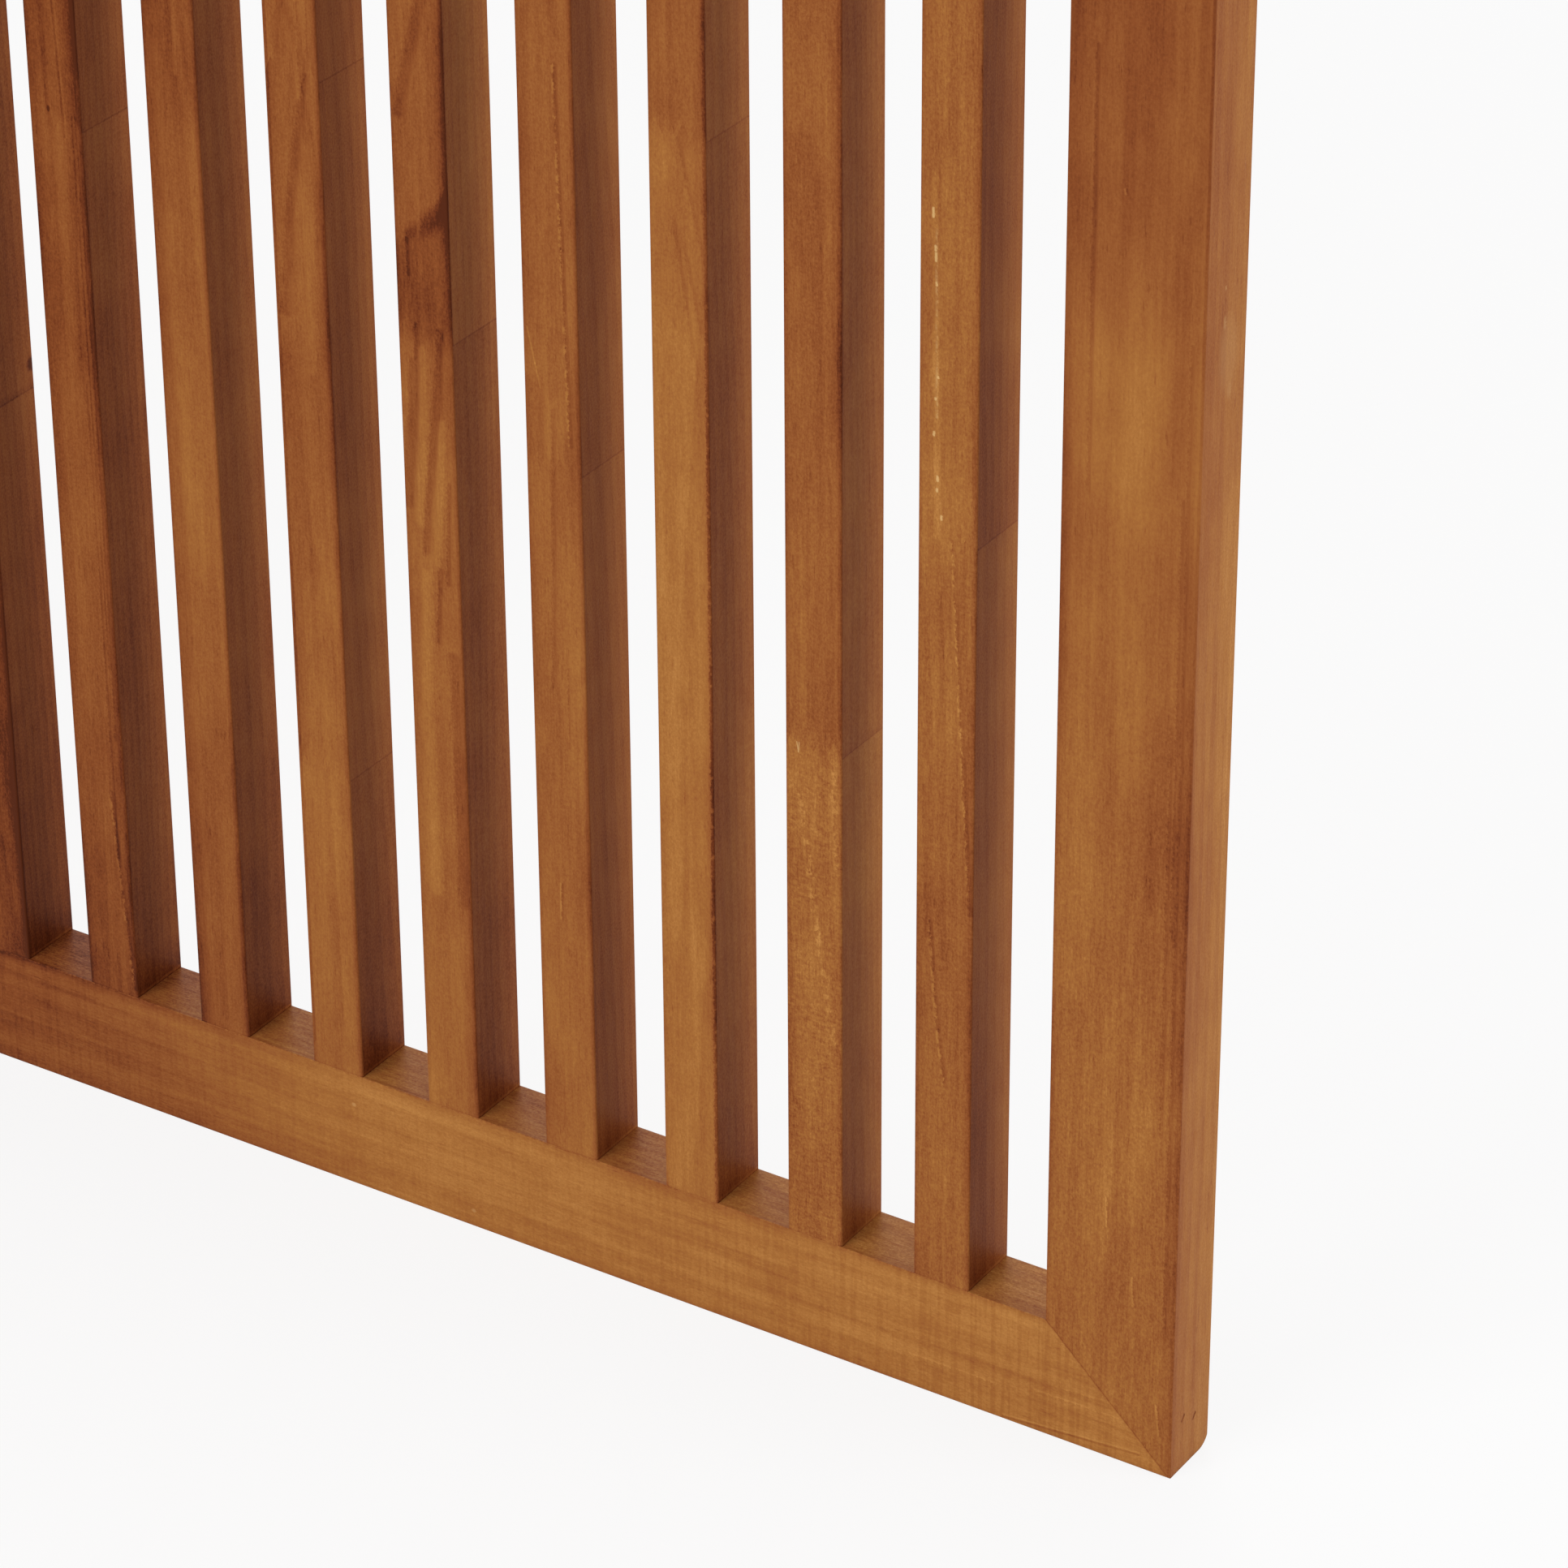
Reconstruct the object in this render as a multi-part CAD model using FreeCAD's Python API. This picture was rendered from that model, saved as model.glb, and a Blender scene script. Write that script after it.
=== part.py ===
import FreeCAD, Part
import math
import os

from FreeCAD import Placement, Rotation, Vector

# Slatted folding screen: three mitred pine panels on butt hinges, standing in a zigzag.
# The origin is on the floor under the middle of the screen, +Z is up and the front faces -Y.
# A panel is drawn in its own frame: u (X) across it, v (Y) from front to back, z up from the floor,
# with u = v = 0 at the middle of its thickness. Lengths are in millimetres and angles in degrees.

# Panel: a mitred frame of stiles and rails, with upright slats planed flush with it
PANEL_HEIGHT = 1700.0
PANEL_WIDTH = 453.0
STOCK_THICKNESS = 19.0
STILE_WIDTH = 35.0
RAIL_WIDTH = 33.5
SLAT_WIDTH = 15.5
SLAT_PITCH = 36.0
FRONT_EASE = 0.5
BACK_EASE = 1.0
CORNER_WEAR = 5.0
CORNER_WEAR_RUN = 25.0

# Stub tenons on the slats' ends, in mortises in the rails
TENON_LENGTH = 12.0
TENON_SHOULDER = 3.5
TENON_CHEEK = 5.0
TENON_CLEARANCE = 0.05
TENON_END_ROOM = 1.0

# Brads shot through the stiles into the rails, two at each mitre
BRADS_PER_MITRE = 2
BRAD_LENGTH = 30.0
BRAD_THICKNESS = 0.8
BRAD_WIDTH = 1.2
BRAD_HEAD_WIDTH = 2.1
BRAD_HEAD_THICKNESS = 0.9
BRAD_POINT_LENGTH = 2.0
BRAD_SET = 0.6
BRAD_FROM_END = 14.6
BRAD_FROM_FRONT = 5.7
BRAD_SPACING = 5.5
BRAD_STAGGER = 2.6
BRAD_TILT = 40.0
BRAD_CLEARANCE = 0.05

# Butt hinges let into the stile edges
HINGES_PER_FOLD = 3
HINGE_LENGTH = 50.0
HINGE_FROM_END = 150.0
LEAF_THICKNESS = 1.25
LEAF_SETBACK = 4.0
LEAF_CLEARANCE = 0.1
KNUCKLES = 3
KNUCKLE_GAP = 0.3
BARREL_CLEARANCE = 0.3
PIN_DIAMETER = 3.0
PIN_CLEARANCE = 0.05
PIN_PROUD = 0.8
PIN_CHAMFER = 0.5

# Countersunk screws in the hinge leaves
SCREWS_PER_LEAF = 2
SCREW_LENGTH = 14.0
SCREW_DIAMETER = 3.0
SCREW_HEAD_DIAMETER = 5.4
SCREW_POINT_LENGTH = 4.0
SCREW_FROM_LEAF_END = 11.0
SCREW_CLEARANCE = 0.05

# Turn of each outer panel out of the flat line, as the screen stands
REST_FOLD = 60.0

# How far a cutter runs past the face that it cuts, and how near counts as touching
OVERCUT = 1.0
TOUCHING = 1e-6

# Sizes that follow from the ones above
HALF_WIDTH = PANEL_WIDTH / 2
HALF_THICKNESS = STOCK_THICKNESS / 2
STILE_INSIDE = HALF_WIDTH - STILE_WIDTH
SLAT_FOOT = RAIL_WIDTH
SLAT_HEAD = PANEL_HEIGHT - RAIL_WIDTH
SLAT_COUNT = math.floor((2 * STILE_INSIDE - SLAT_WIDTH) / SLAT_PITCH)
SLAT_CENTRES = [(k - (SLAT_COUNT - 1) / 2) * SLAT_PITCH for k in range(SLAT_COUNT)]
TENON_HALF_WIDTH = SLAT_WIDTH / 2 - TENON_SHOULDER
TENON_HALF_DEPTH = HALF_THICKNESS - TENON_CHEEK
BORE_RADIUS = PIN_DIAMETER / 2 + PIN_CLEARANCE
KNUCKLE_RADIUS = BORE_RADIUS + LEAF_THICKNESS
KNUCKLE_LENGTH = (HINGE_LENGTH - (KNUCKLES - 1) * KNUCKLE_GAP) / KNUCKLES
FOLD_GAP = 2 * BORE_RADIUS
AXIS_OUT = KNUCKLE_RADIUS + BARREL_CLEARANCE
LEAF_WIDTH = STOCK_THICKNESS - LEAF_SETBACK
LEAF_REACH = AXIS_OUT + LEAF_WIDTH
SCREW_ROW = AXIS_OUT + LEAF_WIDTH / 2

X_AXIS = Vector(1, 0, 0)
Y_AXIS = Vector(0, 1, 0)
Z_AXIS = Vector(0, 0, 1)


def spread(first, last, count):
    """Evenly spaced values from first to last."""
    return [first + k * (last - first) / (count - 1) for k in range(count)]


HINGE_HEIGHTS = spread(HINGE_FROM_END, PANEL_HEIGHT - HINGE_FROM_END, HINGES_PER_FOLD)
SCREW_REACH = HINGE_LENGTH / 2 - SCREW_FROM_LEAF_END
SCREW_HEIGHTS = spread(-SCREW_REACH, SCREW_REACH, SCREWS_PER_LEAF)


def at(x=0.0, y=0.0, z=0.0, axis=Z_AXIS, angle=0.0):
    """A placement that turns about an axis through the origin and then moves."""
    return Placement(Vector(x, y, z), Rotation(axis, angle))


def placed(shape, placement):
    """A copy of the shape, with the placement worked into its geometry."""
    return shape.transformed(placement.toMatrix(), True)


def block(low, high):
    """A box between two opposite corners."""
    return Part.makeBox(*(Vector(*high) - Vector(*low)), Vector(*low))


def plate(points, rise):
    """A flat outline of straight edges, given by its corners, drawn out along a vector."""
    corners = [Vector(*p) for p in points]
    return Part.Face(Part.makePolygon(corners + corners[:1])).extrude(rise)


def arrises(shape, x, y):
    """The upright edges at x and y."""
    return [e for e in shape.Edges if all(math.hypot(p.X - x, p.Y - y) < TOUCHING for p in e.Vertexes)]


def round_section(radius, x=0.0):
    """The waste outside a quarter round, for wood that fills -Y and -Z of an arris along X."""
    inset = radius * (1 - math.sqrt(0.5))
    arc = Part.Arc(Vector(x, -radius, 0), Vector(x, -inset, -inset), Vector(x, 0, -radius)).toShape()
    corners = [(0, -radius), (OVERCUT, -radius), (OVERCUT, OVERCUT), (-radius, OVERCUT), (-radius, 0)]
    sides = Part.makePolygon([Vector(x, y, z) for y, z in corners]).Edges
    return Part.Wire([arc] + sides)


def round_over(radius, length):
    """A router's cut along an arris that runs from the origin along X."""
    return Part.Face(round_section(radius)).extrude(X_AXIS * length)


# Corners: the line of the mitres, and the wear at the panel's feet

def on_mitre(inwards):
    """A point on the mitre of the bottom right corner, by its distance in from the stile's outer edge."""
    return HALF_WIDTH - inwards, inwards * RAIL_WIDTH / STILE_WIDTH


MITRE_OUT = on_mitre(-OVERCUT)
MITRE_IN = on_mitre(STILE_WIDTH + OVERCUT)


def mitred(member, corners):
    """The part of a member inside an outline, given by its corners in u and z."""
    return member.common(plate([(u, -STOCK_THICKNESS, z) for u, z in corners], Y_AXIS * 2 * STOCK_THICKNESS))


def corner_wear(side):
    """Waste at a rubbed bottom corner: a round that shrinks along the back edge until it dies out."""
    worn = round_section(CORNER_WEAR, OVERCUT)
    faded = round_section(FRONT_EASE, -CORNER_WEAR_RUN)
    waste = placed(Part.makeLoft([worn, faded], True, True), at(axis=X_AXIS, angle=-90))
    if side < 0:
        waste = waste.mirror(Vector(), X_AXIS)
    return placed(waste, at(side * HALF_WIDTH, HALF_THICKNESS, 0))


WEAR = [corner_wear(-1), corner_wear(1)]


# Brads: a flat shank with a wider head, set a little below the stile's edge

def brad_profile(start, grow):
    """Outline of a brad that goes in along -X from x = start, drawn out to its thickness."""
    head = BRAD_HEAD_WIDTH / 2 + grow
    shank = BRAD_WIDTH / 2 + grow
    under_head = -BRAD_SET - BRAD_HEAD_THICKNESS - grow
    point = -BRAD_SET - BRAD_LENGTH - grow
    shoulder = point + BRAD_POINT_LENGTH
    half = [(start, head), (under_head, head), (under_head, shank), (shoulder, shank), (point, 0)]
    outline = half + [(x, -z) for x, z in reversed(half[:-1])]
    depth = BRAD_THICKNESS / 2 + grow
    return plate([(x, -depth, z) for x, z in outline], Y_AXIS * 2 * depth)


def brad_places(side, top):
    """Where the brads of one mitre enter the stile's outer edge: staggered, and leaning back at the top."""
    facing = at() if side > 0 else at(angle=180)
    places = []
    for k in range(BRADS_PER_MITRE):
        v = BRAD_FROM_FRONT + k * BRAD_SPACING - HALF_THICKNESS
        from_end = BRAD_FROM_END - k * BRAD_STAGGER
        z = PANEL_HEIGHT - from_end if top else from_end
        places.append(at(side * HALF_WIDTH, v, z) * facing * at(axis=X_AXIS, angle=-side * BRAD_TILT))
    return places


BRAD_PLACES = [p for side in (-1, 1) for top in (False, True) for p in brad_places(side, top)]
BRADS = [placed(brad_profile(-BRAD_SET, 0), p) for p in BRAD_PLACES]
BRAD_SLOTS = [placed(brad_profile(OVERCUT, BRAD_CLEARANCE), p) for p in BRAD_PLACES]


# Hinges: a hinge is drawn about its pin, with the middle panel's leaf at -x, the outer panel's at +x
# when the fold lies flat, and the panels' thickness towards +y

def screw_profile(start, grow):
    """A countersunk screw driven along -X, its flat head at x = 0, or its hole opened out to x = start."""
    head = SCREW_HEAD_DIAMETER / 2 + grow
    shank = SCREW_DIAMETER / 2 + grow
    tip = -SCREW_LENGTH - grow
    outline = [(start, 0), (start, head), (shank - head, shank), (tip + SCREW_POINT_LENGTH, shank), (tip, 0)]
    if start > 0:
        outline.insert(2, (0, head))
    corners = [Vector(x, r, 0) for x, r in outline]
    return Part.Face(Part.makePolygon(corners + corners[:1])).revolve(Vector(), X_AXIS, 360)


SCREW = screw_profile(0, 0)
SCREW_HOLE = screw_profile(OVERCUT, SCREW_CLEARANCE)


def screw_places(side):
    """The screws of one leaf, about the middle of the hinge, with their heads flush in the leaf."""
    facing = at() if side < 0 else at(axis=Y_AXIS, angle=180)
    return [at(side * BORE_RADIUS, SCREW_ROW, z) * facing for z in SCREW_HEIGHTS]


def leaf(side, first_knuckle):
    """A leaf with its knuckles rolled round the pin, notched where the other leaf's knuckles turn."""
    outside = side * KNUCKLE_RADIUS
    inside = side * BORE_RADIUS
    base = -HINGE_LENGTH / 2
    meet = math.sqrt(KNUCKLE_RADIUS**2 - BORE_RADIUS**2)
    lean = math.atan2(meet, BORE_RADIUS) / 2
    roll_start = Vector(outside, 0, base)
    roll_under = Vector(0, -KNUCKLE_RADIUS, base)
    half_way = Vector(-outside, 0, base)
    roll_over = Vector(-outside * math.sin(lean), KNUCKLE_RADIUS * math.cos(lean), base)
    roll_end = Vector(inside, meet, base)
    sheet = Part.makePolygon([roll_end, Vector(inside, LEAF_REACH, base), Vector(outside, LEAF_REACH, base),
                              roll_start])
    arcs = [Part.Arc(roll_start, roll_under, half_way), Part.Arc(half_way, roll_over, roll_end)]
    outline = Part.Wire(sheet.Edges + [arc.toShape() for arc in arcs])
    rolled = Part.Face(outline).extrude(Z_AXIS * HINGE_LENGTH)
    bore = Part.makeCylinder(BORE_RADIUS, HINGE_LENGTH + 2 * OVERCUT, Vector(0, 0, base - OVERCUT))
    clear = KNUCKLE_RADIUS + BARREL_CLEARANCE
    notches = []
    for k in range(1 - first_knuckle, KNUCKLES, 2):
        low = base + k * (KNUCKLE_LENGTH + KNUCKLE_GAP) - KNUCKLE_GAP
        high = low + KNUCKLE_LENGTH + 2 * KNUCKLE_GAP
        notches.append(block((-clear, -clear, low), (clear, clear, high)))
    sinks = [placed(SCREW_HOLE, p) for p in screw_places(side)]
    return rolled.cut([bore] + notches + sinks)


def pin():
    """A hinge pin with chamfered ends, a little proud of the barrel."""
    length = HINGE_LENGTH + 2 * PIN_PROUD
    rod = Part.makeCylinder(PIN_DIAMETER / 2, length, Vector(0, 0, -length / 2))
    return rod.makeChamfer(PIN_CHAMFER, [e for e in rod.Edges if e.isClosed()])


def leaf_pockets(side):
    """What is cut out of a stile for one hinge: the leaf's seat, and the pilot holes of its screws."""
    reach = HINGE_LENGTH / 2 + LEAF_CLEARANCE
    low, high = sorted((side * KNUCKLE_RADIUS, 0))
    seat = block((low, 0, -reach), (high, LEAF_REACH + LEAF_CLEARANCE, reach))
    return [seat] + [placed(SCREW_HOLE, p) for p in screw_places(side)]


# Folds: where the pins stand, in the middle panel's frame and in that of the outer panel beside it
FOLD_U = HALF_WIDTH + FOLD_GAP / 2
FOLD_V = HALF_THICKNESS + AXIS_OUT
FOLDS = {
    "left": {"in_middle": at(-FOLD_U, FOLD_V, angle=180), "in_outer": at(FOLD_U, FOLD_V, angle=180)},
    "right": {"in_middle": at(FOLD_U, -FOLD_V), "in_outer": at(-FOLD_U, -FOLD_V)},
}
PANEL_PLACES = {"middle": at(angle=REST_FOLD / 2)}
for name, fold in FOLDS.items():
    fold["fixed"] = PANEL_PLACES["middle"] * fold["in_middle"]
    fold["turned"] = fold["fixed"] * at(angle=-REST_FOLD)
    PANEL_PLACES[name] = fold["turned"] * fold["in_outer"].inverse()

# The stiles that carry hinges, by panel and side of it: the fold in that panel's frame, and the leaf's side
HINGED_STILES = {
    ("left", 1): (FOLDS["left"]["in_outer"], 1),
    ("middle", -1): (FOLDS["left"]["in_middle"], -1),
    ("middle", 1): (FOLDS["right"]["in_middle"], -1),
    ("right", -1): (FOLDS["right"]["in_outer"], 1),
}


# Wooden members of one panel

def stile(panel, side):
    """An upright with mitred ends, seated for its hinges and slotted for its brads."""
    outer = side * HALF_WIDTH
    inner = side * STILE_INSIDE
    low, high = sorted((outer, inner))
    bar = block((low, -HALF_THICKNESS, 0), (high, HALF_THICKNESS, PANEL_HEIGHT))
    bar = bar.makeFillet(FRONT_EASE, arrises(bar, outer, -HALF_THICKNESS))
    bar = bar.makeFillet(BACK_EASE, arrises(bar, outer, HALF_THICKNESS) + arrises(bar, inner, HALF_THICKNESS))
    corners = [(side * u, z) for u, z in (MITRE_OUT, MITRE_IN)]
    corners += [(u, PANEL_HEIGHT - z) for u, z in reversed(corners)]
    cuts = WEAR + BRAD_SLOTS
    if (panel, side) in HINGED_STILES:
        fold_place, leaf_side = HINGED_STILES[panel, side]
        cuts += [placed(c, fold_place * at(z=z)) for z in HINGE_HEIGHTS for c in leaf_pockets(leaf_side)]
    return mitred(bar, corners).cut(cuts)


def tenon(grow, length):
    """A tenon below z = 0, or with room round it the mortise that takes it, run past z = 0 to cut or join."""
    across = TENON_HALF_WIDTH + grow
    depth = TENON_HALF_DEPTH + grow
    return block((-across, -depth, -length), (across, depth, OVERCUT))


def slat_bar(foot, head):
    """A stretch of slat at the middle of the panel, crisp in front and rounded over behind."""
    half = SLAT_WIDTH / 2
    bar = block((-half, -HALF_THICKNESS, foot), (half, HALF_THICKNESS, head))
    for v, radius in ((-HALF_THICKNESS, FRONT_EASE), (HALF_THICKNESS, BACK_EASE)):
        bar = bar.makeFillet(radius, arrises(bar, -half, v) + arrises(bar, half, v))
    return bar


def slat():
    """A slat with a tenon at each end."""
    ends = [at(z=SLAT_FOOT), at(z=SLAT_HEAD, axis=X_AXIS, angle=180)]
    return slat_bar(SLAT_FOOT, SLAT_HEAD).fuse([placed(tenon(0, TENON_LENGTH), p) for p in ends])


def bottom_rail(worn=True):
    """A rail with mitred ends, mortised for the slats and rounded over behind from slat to slat."""
    bar = block((0, -HALF_THICKNESS, -HALF_WIDTH), (RAIL_WIDTH, HALF_THICKNESS, HALF_WIDTH))
    bar = bar.makeFillet(FRONT_EASE, arrises(bar, 0, -HALF_THICKNESS))
    bar = bar.makeFillet(BACK_EASE, arrises(bar, 0, HALF_THICKNESS))
    laid_down = placed(bar, at(axis=Y_AXIS, angle=-90))
    corners = [MITRE_OUT, MITRE_IN]
    corners += [(-u, z) for u, z in reversed(corners)]
    run = STILE_INSIDE + BACK_EASE
    routed = placed(round_over(BACK_EASE, 2 * run), at(-run, HALF_THICKNESS, SLAT_FOOT))
    standing = slat_bar(SLAT_FOOT - BACK_EASE - OVERCUT, SLAT_FOOT + 2 * OVERCUT)
    routed = routed.cut([placed(standing, at(u)) for u in SLAT_CENTRES])
    mortise = tenon(TENON_CLEARANCE, TENON_LENGTH + TENON_END_ROOM)
    mortises = [placed(mortise, at(u, 0, SLAT_FOOT)) for u in SLAT_CENTRES]
    wear = WEAR if worn else []
    return mitred(laid_down, corners).cut([routed] + mortises + wear)


# Assembly

def save(name, shapes, placement):
    solids = [placed(s, placement) for s in shapes]
    whole = solids[0] if len(solids) == 1 else Part.makeCompound(solids)
    bad = [s for s in whole.Solids if not s.isValid()]
    if bad or len(whole.Solids) != len(shapes):
        raise ValueError(f"{name}: {len(whole.Solids)} solids for {len(shapes)} pieces, {len(bad)} not valid")
    whole.exportStep(f"parts/{name}.step")


def build_panels():
    one_slat = slat()
    upside_down = bottom_rail(worn=False).mirror(Vector(0, 0, PANEL_HEIGHT / 2), Z_AXIS)
    rails = {"bottom_rail": bottom_rail().cut(BRAD_SLOTS), "top_rail": upside_down.cut(BRAD_SLOTS)}
    for panel, place in PANEL_PLACES.items():
        for side, word in ((-1, "left"), (1, "right")):
            save(f"{panel}_panel_{word}_stile", [stile(panel, side)], place)
        for word, member in rails.items():
            save(f"{panel}_panel_{word}", [member], place)
        for k, u in enumerate(SLAT_CENTRES, 1):
            save(f"{panel}_panel_slat_{k:02d}", [one_slat], place * at(u))
        save(f"{panel}_panel_corner_brads", BRADS, place)


def build_hinges():
    leaves = {"middle": leaf(-1, 0), "outer": leaf(1, 1)}
    for name, fold in FOLDS.items():
        save(f"{name}_fold_hinge_pins", [placed(pin(), at(z=z)) for z in HINGE_HEIGHTS], fold["fixed"])
        for word, side, place in (("middle", -1, fold["fixed"]), ("outer", 1, fold["turned"])):
            screws = [placed(SCREW, at(z=z) * p) for z in HINGE_HEIGHTS for p in screw_places(side)]
            save(f"{name}_fold_{word}_leaves", [placed(leaves[word], at(z=z)) for z in HINGE_HEIGHTS], place)
            save(f"{name}_fold_{word}_screws", screws, place)


os.makedirs("parts", exist_ok=True)
build_panels()
build_hinges()
for name, fold in FOLDS.items():
    x, y, _ = fold["fixed"].Base
    print(f"{name} fold axis at x {x:.4f}, y {y:.4f}")
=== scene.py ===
import math
import random
from collections import namedtuple

import bmesh
import bpy
from mathutils import Matrix, Vector


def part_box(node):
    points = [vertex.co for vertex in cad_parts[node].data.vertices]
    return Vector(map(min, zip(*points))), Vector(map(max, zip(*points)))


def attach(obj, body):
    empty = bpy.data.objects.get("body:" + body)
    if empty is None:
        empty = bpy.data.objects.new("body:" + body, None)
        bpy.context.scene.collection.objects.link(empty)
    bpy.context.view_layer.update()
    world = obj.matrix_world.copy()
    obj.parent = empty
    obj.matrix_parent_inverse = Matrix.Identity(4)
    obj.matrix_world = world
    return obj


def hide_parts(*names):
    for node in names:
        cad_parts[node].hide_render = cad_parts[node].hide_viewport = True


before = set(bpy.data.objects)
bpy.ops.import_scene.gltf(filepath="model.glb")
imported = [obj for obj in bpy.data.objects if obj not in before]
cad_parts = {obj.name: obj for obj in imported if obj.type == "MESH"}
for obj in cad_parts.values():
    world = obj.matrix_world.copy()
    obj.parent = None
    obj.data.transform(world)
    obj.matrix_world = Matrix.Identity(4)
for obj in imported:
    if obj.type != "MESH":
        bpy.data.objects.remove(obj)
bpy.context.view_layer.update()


# Slats: ten upright pine strips in each panel, flush with the frame. Each is glued up end to end from
# shorter lengths, planed, stained honey brown and given a satin lacquer. Stub tenons on the ends stand
# in mortises in the rails, so only a fine line shows where a slat meets a rail.
MM = 0.001
PANELS = ("left", "middle", "right")
SLATS_PER_PANEL = 10
UP = Vector((0.0, 0.0, 1.0))


def swatch(red, green, blue):
    """A colour given as 0 to 255 screen values, in the linear values that shaders use."""
    screen = (red / 255, green / 255, blue / 255)
    return tuple(((c + 0.055) / 1.055) ** 2.4 for c in screen) + (1.0,)


class Field:
    """A number, colour or direction that varies over a surface. Sums of fields add their Math nodes."""

    def __init__(self, tree, socket=None):
        self.tree = tree
        self.socket = socket

    def node(self, kind, settings=(), sockets=(), out=0):
        """Adds a node of this type: its settings first, then the values or links of its sockets."""
        made = self.tree.nodes.new("ShaderNode" + kind)
        for name, value in dict(settings).items():
            if name == "stops":
                stops = made.color_ramp.elements
                for place, colour in value[1:-1]:
                    stops.new(place).color = colour
                for stop, (place, colour) in zip((stops[0], stops[-1]), (value[0], value[-1])):
                    stop.position = place
                    stop.color = colour
            else:
                setattr(made, name, value)
        for name, value in dict(sockets).items():
            if isinstance(value, Field):
                self.tree.links.new(value.socket, made.inputs[name])
            else:
                made.inputs[name].default_value = value
        if isinstance(out, tuple):
            return tuple(Field(self.tree, made.outputs[name]) for name in out)
        return None if out is None else Field(self.tree, made.outputs[out])

    def maths(self, operation, *terms):
        return self.node("Math", {"operation": operation}, enumerate(terms))

    def __add__(self, other):
        return self.maths("ADD", self, other)

    def __radd__(self, other):
        return self.maths("ADD", other, self)

    def __sub__(self, other):
        return self.maths("SUBTRACT", self, other)

    def __rsub__(self, other):
        return self.maths("SUBTRACT", other, self)

    def __mul__(self, other):
        return self.maths("MULTIPLY", self, other)

    def __rmul__(self, other):
        return self.maths("MULTIPLY", other, self)

    def __truediv__(self, other):
        return self.maths("DIVIDE", self, other)

    def __pow__(self, other):
        return self.maths("POWER", self, other)

    def __abs__(self):
        return self.maths("ABSOLUTE", self)

    def fraction(self):
        return self.maths("FRACT", self)

    def larger(self, other):
        return self.maths("MAXIMUM", self, other)

    def rises(self, low, high):
        """0 up to low, 1 from high on, and a smooth slope between."""
        return self.node(
            "MapRange",
            {"interpolation_type": "SMOOTHSTEP"},
            {"Value": self, "From Min": low, "From Max": high},
        )

    def blend(self, first, second):
        """The first colour where this field is 0 and the second where it is 1."""
        return self.node("Mix", {"data_type": "RGBA"}, {0: self, 6: first, 7: second}, out=2)

    def noise(self, scale, detail=2.0, roughness=0.5):
        """Smooth noise over this position, about 0.5 on average."""
        return self.node(
            "TexNoise", {}, {"Vector": self, "Scale": scale, "Detail": detail, "Roughness": roughness}
        )

    def stretched(self, *shares):
        """This position squeezed by a share along each axis, so that noise on it is drawn out there."""
        return self.node("VectorMath", {"operation": "MULTIPLY"}, {0: self, 1: shares})

    def covers(self, output="OutputMaterial"):
        """Makes this shader the surface of its material, or the light of its world."""
        self.node(output, {}, {0: self}, out=None)


def emptied(block):
    """The node tree of a material or a world with nothing in it, ready for a finish."""
    block.use_nodes = True
    block.node_tree.nodes.clear()
    return Field(block.node_tree)


# A board's own lines: its place, the ways across it, into it from its front and along its grain, and how
# far in millimetres it reaches to each side across and into.
Board = namedtuple("Board", "origin across depth along half_across half_depth")


def middle(node):
    low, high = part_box(node)
    return (low + high) / 2


def panel_lines(panel):
    """The floor point under a panel's middle, the way across it and the way to its back."""
    left = middle(f"{panel}_panel_left_stile")
    right = middle(f"{panel}_panel_right_stile")
    across = (right - left).normalized()
    foot = (left + right) / 2
    foot.z = 0.0
    return foot, across, UP.cross(across)


def reach(node, way):
    """A node's lowest and highest place along a direction."""
    places = [way.dot(v.co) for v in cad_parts[node].data.vertices]
    return min(places), max(places)


def half_span(node, way):
    low, high = reach(node, way)
    return (high - low) / 2 / MM


def upright(node, across, back):
    """The lines of a slat or a stile, whose grain runs up from the floor."""
    foot = middle(node)
    foot.z = 0.0
    return Board(foot, across, back, UP, half_span(node, across), half_span(node, back))


def board_fields(blank, board):
    """Fields of the millimetres across, into and along a board."""
    turn = Matrix((board.across, board.depth, board.along)).transposed().to_euler()
    place = blank.node("TexCoord", out="Object")
    lines = place.node(
        "Mapping",
        {"vector_type": "TEXTURE"},
        {"Vector": place, "Location": board.origin, "Rotation": turn, "Scale": (MM, MM, MM)},
    )
    return lines.node("SeparateXYZ", {}, {0: lines}, out=(0, 1, 2))


def position(across, depth, along):
    return across.node("CombineXYZ", {}, {0: across, 1: depth, 2: along})


def stroke(across, along, start, end, width):
    """1 on a line between two places on a face, falling to 0 at its half width."""
    run = (end[0] - start[0], end[1] - start[1])
    square = run[0] ** 2 + run[1] ** 2
    share = (across - start[0]) * (run[0] / square) + (along - start[1]) * (run[1] / square)
    share = share.node("Clamp", {}, {"Value": share})
    x = across - start[0] - share * run[0]
    y = along - start[1] - share * run[1]
    return 1 - ((x * x + y * y) ** 0.5).rises(width * 0.25, width)


def strokes(across, along, lines):
    """1 on any of several lines, each given by its start, its end and its half width."""
    drawn = [stroke(across, along, *line) for line in lines]
    whole = drawn[0]
    for line in drawn[1:]:
        whole = whole.larger(line)
    return whole


def spot(across, along, place, wide, tall):
    """1 at a place on a face, falling to 0 at its reach across and along the grain."""
    x = (across - place[0]) / wide
    y = (along - place[1]) / tall
    return 1 - (x * x + y * y).rises(0.0, 1.0)


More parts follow.
